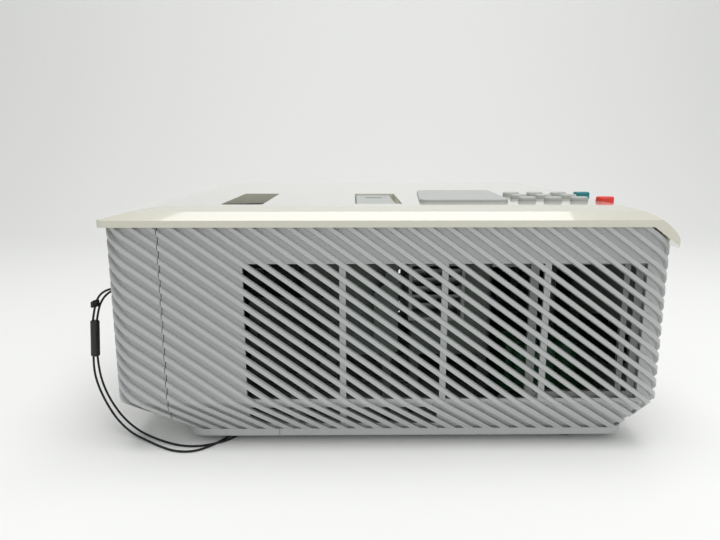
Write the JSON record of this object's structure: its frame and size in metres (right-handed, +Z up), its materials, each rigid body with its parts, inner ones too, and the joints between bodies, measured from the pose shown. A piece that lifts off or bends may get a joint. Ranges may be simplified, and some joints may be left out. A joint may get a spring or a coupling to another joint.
{
  "type": "projector with built-in disc player",
  "caption": "Table-top video projector with a ribbed ventilated casing, a capped lens with focus and zoom rings, a key pad on the lid and a disc tray in the rear wall",
  "frame": {"origin": "centre of the casing's footprint, on the surface that the feet stand on", "axes": "+Z up, the lens looks along -X, the disc tray slides out along +X, +Y is the side away from the strap"},
  "size_m": [0.3648, 0.285, 0.1543],
  "materials": {
    "casing_grey": "satin moulded",
    "lid_white": "gloss moulded",
    "panel_grey": "satin moulded",
    "key_red": "satin moulded",
    "key_teal": "satin moulded",
    "black_plastic": "fine texture",
    "rubber": "matt",
    "glass": "coated and polished",
    "dark_window": "polished",
    "strap_cord": "braided cord",
    "steel": "plain sheet",
    "inner_plastic": "plain moulded",
    "aluminium": "dull cast",
    "circuit": "lacquered board"
  },
  "bodies": {
    "casing": {"main_housing": "casing_grey", "front_cover": "casing_grey", "base_pan": "casing_grey", "top_cover": "lid_white", "status_panel": "panel_grey", "lens_barrel": "black_plastic", "ac_inlet": "black_plastic", "switch_housing": "black_plastic", "fan_frame": "black_plastic", "speakers": "black_plastic", "strap_slider": "black_plastic", "rear_feet": "rubber", "ir_window": "dark_window", "strap_hitch_outer": "strap_cord", "strap_hitch_inner": "strap_cord", "strap_strand_outer": "strap_cord", "strap_strand_inner": "strap_cord", "dvd_chassis": "steel", "clamp_bridge": "steel", "pickup_rails": "steel", "screws": "steel", "spindle_motor": "steel", "louvre_duct": "inner_plastic", "filter_frame": "inner_plastic", "optical_engine": "aluminium", "lamp_housing": "aluminium", "main_board": "circuit", "power_supply": "circuit", "keypad_board": "circuit", "connector_panel": "circuit"},
    "front_foot": {"front_foot": "rubber"},
    "foot_release": {"foot_release": "black_plastic"},
    "focus_ring": {"focus_ring": "black_plastic"},
    "zoom_ring": {"zoom_ring": "black_plastic"},
    "front_lens_group": {"front_lens_cell": "black_plastic", "front_lens": "glass"},
    "zoom_lens_group": {"zoom_lens_cell": "black_plastic", "zoom_lens": "glass"},
    "lens_cap": {"lens_cap": "black_plastic"},
    "slide_plate": {"slide_plate": "panel_grey"},
    "tray": {"dvd_tray": "black_plastic", "tray_front": "panel_grey"},
    "spindle": {"spindle_hub": "inner_plastic"},
    "puck": {"clamp_puck": "inner_plastic"},
    "pickup": {"pickup_sled": "inner_plastic"},
    "rotor": {"fan_rotor": "black_plastic"},
    "rocker": {"power_rocker": "black_plastic"},
    "key_1": {"key_1": "panel_grey"},
    "key_2": {"key_2": "panel_grey"},
    "key_3": {"key_3": "panel_grey"},
    "key_4": {"key_4": "panel_grey"},
    "key_5": {"key_5": "panel_grey"},
    "key_6": {"key_6": "panel_grey"},
    "key_7": {"key_7": "panel_grey"},
    "key_8": {"key_8": "panel_grey"},
    "key_9": {"key_9": "panel_grey"},
    "power_key": {"power_key": "key_red"},
    "source_key": {"source_key": "key_teal"}
  },
  "joints": [
    {"name": "front_foot_drop", "type": "slide", "parent": "casing", "child": "front_foot", "axis": [0, 0, -1], "range_m": [0, 0.02]},
    {"name": "foot_release_press", "type": "slide", "parent": "casing", "child": "foot_release", "axis": [1, 0, 0], "range_m": [0, 0.0025], "stiffness_N_per_m": 800, "springref_m": -0.001},
    {"name": "focus_turn", "type": "hinge", "parent": "casing", "child": "focus_ring", "pos_m": [-0.0975, -0.066, 0.098], "axis": [1, 0, 0], "range_deg": [-45, 45]},
    {"name": "zoom_turn", "type": "hinge", "parent": "casing", "child": "zoom_ring", "pos_m": [-0.0849, -0.066, 0.098], "axis": [1, 0, 0], "range_deg": [-40, 40]},
    {"name": "front_lens_travel", "type": "slide", "parent": "casing", "child": "front_lens_group", "axis": [1, 0, 0], "range_m": [-0.003, 0.003]},
    {"name": "zoom_lens_travel", "type": "slide", "parent": "casing", "child": "zoom_lens_group", "axis": [1, 0, 0], "range_m": [-0.006, 0.006]},
    {"name": "lens_cap_pull", "type": "slide", "parent": "casing", "child": "lens_cap", "axis": [-1, 0, 0], "range_m": [0, 0.014], "deforming": ["strap_hitch_outer", "strap_hitch_inner"]},
    {"name": "slide_plate_shift", "type": "slide", "parent": "casing", "child": "slide_plate", "axis": [1, 0, 0], "range_m": [0, 0.0024]},
    {"name": "tray_travel", "type": "slide", "parent": "casing", "child": "tray", "axis": [1, 0, 0], "range_m": [0, 0.13]},
    {"name": "spindle_spin", "type": "hinge", "parent": "casing", "child": "spindle", "pos_m": [0.1, 0.062, 0.105], "axis": [0, 0, 1], "continuous": true},
    {"name": "puck_spin", "type": "hinge", "parent": "casing", "child": "puck", "pos_m": [0.1, 0.062, 0.112], "axis": [0, 0, 1], "continuous": true},
    {"name": "pickup_travel", "type": "slide", "parent": "casing", "child": "pickup", "axis": [1, 0, 0], "range_m": [-0.022, 0.01]},
    {"name": "fan_spin", "type": "hinge", "parent": "casing", "child": "rotor", "pos_m": [0.005, 0.127, 0.062], "axis": [0, 1, 0], "continuous": true},
    {"name": "rocker_tilt", "type": "hinge", "parent": "casing", "child": "rocker", "pos_m": [0.1585, -0.058, 0.054], "axis": [0, -1, 0], "range_deg": [0, 16]},
    {"name": "key_1_press", "type": "slide", "parent": "casing", "child": "key_1", "axis": [0, 0, -1], "range_m": [0, 0.0012], "stiffness_N_per_m": 300, "springref_m": -0.0005},
    {"name": "key_2_press", "type": "slide", "parent": "casing", "child": "key_2", "axis": [0, 0, -1], "range_m": [0, 0.0012], "stiffness_N_per_m": 300, "springref_m": -0.0005},
    {"name": "key_3_press", "type": "slide", "parent": "casing", "child": "key_3", "axis": [0, 0, -1], "range_m": [0, 0.0012], "stiffness_N_per_m": 300, "springref_m": -0.0005},
    {"name": "key_4_press", "type": "slide", "parent": "casing", "child": "key_4", "axis": [0, 0, -1], "range_m": [0, 0.0012], "stiffness_N_per_m": 300, "springref_m": -0.0005},
    {"name": "key_5_press", "type": "slide", "parent": "casing", "child": "key_5", "axis": [0, 0, -1], "range_m": [0, 0.0012], "stiffness_N_per_m": 300, "springref_m": -0.0005},
    {"name": "key_6_press", "type": "slide", "parent": "casing", "child": "key_6", "axis": [0, 0, -1], "range_m": [0, 0.0012], "stiffness_N_per_m": 300, "springref_m": -0.0005},
    {"name": "key_7_press", "type": "slide", "parent": "casing", "child": "key_7", "axis": [0, 0, -1], "range_m": [0, 0.0012], "stiffness_N_per_m": 300, "springref_m": -0.0005},
    {"name": "key_8_press", "type": "slide", "parent": "casing", "child": "key_8", "axis": [0, 0, -1], "range_m": [0, 0.0012], "stiffness_N_per_m": 300, "springref_m": -0.0005},
    {"name": "key_9_press", "type": "slide", "parent": "casing", "child": "key_9", "axis": [0, 0, -1], "range_m": [0, 0.0012], "stiffness_N_per_m": 300, "springref_m": -0.0005},
    {"name": "power_key_press", "type": "slide", "parent": "casing", "child": "power_key", "axis": [0, 0, -1], "range_m": [0, 0.0012], "stiffness_N_per_m": 300, "springref_m": -0.0005},
    {"name": "source_key_press", "type": "slide", "parent": "casing", "child": "source_key", "axis": [0, 0, -1], "range_m": [0, 0.0012], "stiffness_N_per_m": 300, "springref_m": -0.0005}
  ],
  "couplings": [
    {"joint": "front_lens_travel", "follows": "focus_turn", "m_per_rad": 0.0038},
    {"joint": "zoom_lens_travel", "follows": "zoom_turn", "m_per_rad": 0.0085}
  ]
}
